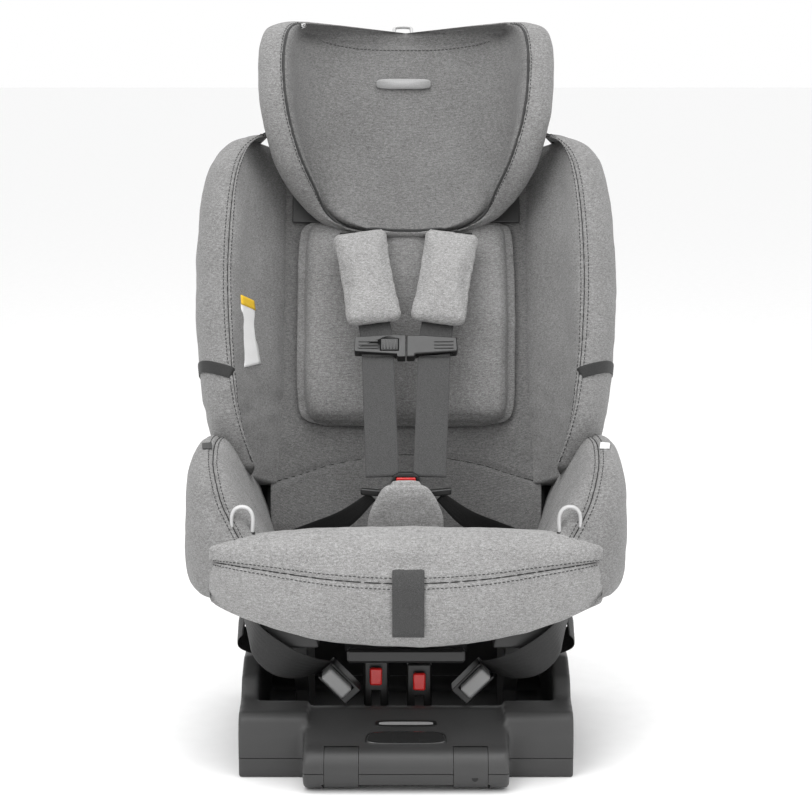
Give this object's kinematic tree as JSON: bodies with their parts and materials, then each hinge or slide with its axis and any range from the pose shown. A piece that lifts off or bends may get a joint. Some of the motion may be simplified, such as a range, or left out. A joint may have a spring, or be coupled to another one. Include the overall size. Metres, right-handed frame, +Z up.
{
  "type": "convertible car seat",
  "caption": "Convertible child car seat on a reclining base, with padded tub, sliding winged headrest and a five-point harness.",
  "frame": {"origin": "middle of the bounding box at floor level, under the base", "axes": "+Z up; the seat faces -Y; +X is towards the right of someone looking at its front; left in a node's name means -X"},
  "size_m": [0.5, 0.563, 0.837],
  "materials": {
    "dark_plastic": "fine-textured moulded plastic",
    "black_plastic": "satin black moulded plastic",
    "grey_plastic": "satin grey moulded plastic",
    "pale_plastic": "pale translucent plastic",
    "red_plastic": "red moulded plastic",
    "fabric": "grey melange woven cover over foam",
    "webbing": "ribbed dark grey webbing",
    "black_webbing": "ribbed black webbing",
    "rubber": "matte rubber",
    "steel": "zinc-plated steel"
  },
  "bodies": {
    "base": {"base_lower": "dark_plastic", "base_upper": "dark_plastic", "recline_rail_left": "dark_plastic", "recline_rail_right": "dark_plastic", "foot_axle": "steel", "latch_adjuster_left": "black_plastic", "latch_adjuster_right": "black_plastic", "latch_webbing_left": "black_webbing", "latch_webbing_right": "black_webbing", "latch_tail_left": "black_webbing", "latch_tail_right": "black_webbing", "latch_connector_left": "black_plastic", "latch_connector_right": "black_plastic"},
    "foot": {"flip_foot": "dark_plastic", "foot_tread": "rubber"},
    "latch_press_left": {"latch_button_left": "grey_plastic"},
    "latch_press_right": {"latch_button_right": "grey_plastic"},
    "release_left": {"connector_release_left": "red_plastic"},
    "release_right": {"connector_release_right": "red_plastic"},
    "shell": {"seat_shell": "dark_plastic", "seat_pad": "fabric", "back_pad": "fabric", "front_lip": "fabric", "seat_wing_left": "fabric", "seat_wing_right": "fabric", "back_bolster_left": "fabric", "back_bolster_right": "fabric", "crotch_strap": "webbing", "crotch_pad": "fabric", "buckle_housing": "black_plastic", "buckle_tongue_left": "black_plastic", "buckle_tongue_right": "black_plastic", "lower_strap_left": "webbing", "lower_strap_right": "webbing", "lap_strap_left": "black_webbing", "lap_strap_right": "black_webbing", "adjuster_strap": "webbing", "adjuster_housing": "steel", "harness_holder_left": "pale_plastic", "harness_holder_right": "pale_plastic", "rod_guide": "black_plastic", "harness_yoke": "steel"},
    "buckle_press": {"buckle_button": "red_plastic"},
    "lever": {"adjuster_lever": "black_plastic"},
    "recline_pull": {"recline_handle": "black_plastic"},
    "headrest": {"headrest_shell": "dark_plastic", "headrest_rod_left": "steel", "headrest_rod_right": "steel", "headrest_pad": "fabric", "headrest_wing_left": "fabric", "headrest_wing_right": "fabric", "shoulder_strap_left": "webbing", "shoulder_strap_right": "webbing", "shoulder_pad_left": "fabric", "shoulder_pad_right": "fabric", "body_insert": "fabric", "chest_clip_left": "black_plastic", "chest_clip_right": "black_plastic"},
    "headrest_pull": {"headrest_handle": "pale_plastic"},
    "clip_press": {"chest_clip_button": "black_plastic"}
  },
  "joints": [
    {"name": "recline", "type": "hinge", "parent": "base", "child": "shell", "pos_m": [0, -0.0598, 0.47], "axis": [-1, 0, 0], "range_deg": [0, 18], "deforming": ["latch_webbing_left", "latch_webbing_right", "latch_tail_left", "latch_tail_right"]},
    {"name": "flip_foot_hinge", "type": "hinge", "parent": "base", "child": "foot", "pos_m": [0, -0.259, 0.0236], "axis": [-1, 0, 0], "range_deg": [0, 140]},
    {"name": "headrest_slide", "type": "slide", "parent": "shell", "child": "headrest", "axis": [0, 0.3746, 0.9272], "range_m": [-0.12, 0.03], "deforming": ["lower_strap_left", "lower_strap_right"]},
    {"name": "headrest_pull_slide", "type": "slide", "parent": "headrest", "child": "headrest_pull", "axis": [0, 0.3746, 0.9272], "range_m": [0, 0.008], "stiffness_N_per_m": 400},
    {"name": "clip_button_press", "type": "slide", "parent": "headrest", "child": "clip_press", "axis": [0, 0.767, -0.6417], "range_m": [0, 0.0015], "stiffness_N_per_m": 600},
    {"name": "buckle_button_press", "type": "slide", "parent": "shell", "child": "buckle_press", "axis": [0, 1, 0], "range_m": [0, 0.004], "stiffness_N_per_m": 1500},
    {"name": "adjuster_lever_press", "type": "hinge", "parent": "shell", "child": "lever", "pos_m": [0.0025, -0.2263, 0.255], "axis": [1, 0, 0], "range_deg": [0, 5], "stiffness_Nm_per_rad": 0.4},
    {"name": "recline_handle_pull", "type": "slide", "parent": "shell", "child": "recline_pull", "axis": [0, -1, 0], "range_m": [0, 0.012], "stiffness_N_per_m": 400},
    {"name": "latch_button_left_press", "type": "slide", "parent": "base", "child": "latch_press_left", "axis": [0, 1, 0], "range_m": [0, 0.003], "stiffness_N_per_m": 1200},
    {"name": "latch_button_right_press", "type": "slide", "parent": "base", "child": "latch_press_right", "axis": [0, 1, 0], "range_m": [0, 0.003], "stiffness_N_per_m": 1200},
    {"name": "connector_release_left_press", "type": "slide", "parent": "base", "child": "release_left", "axis": [0, 1, 0], "range_m": [0, 0.002], "stiffness_N_per_m": 1200},
    {"name": "connector_release_right_press", "type": "slide", "parent": "base", "child": "release_right", "axis": [0, 1, 0], "range_m": [0, 0.002], "stiffness_N_per_m": 1200}
  ]
}
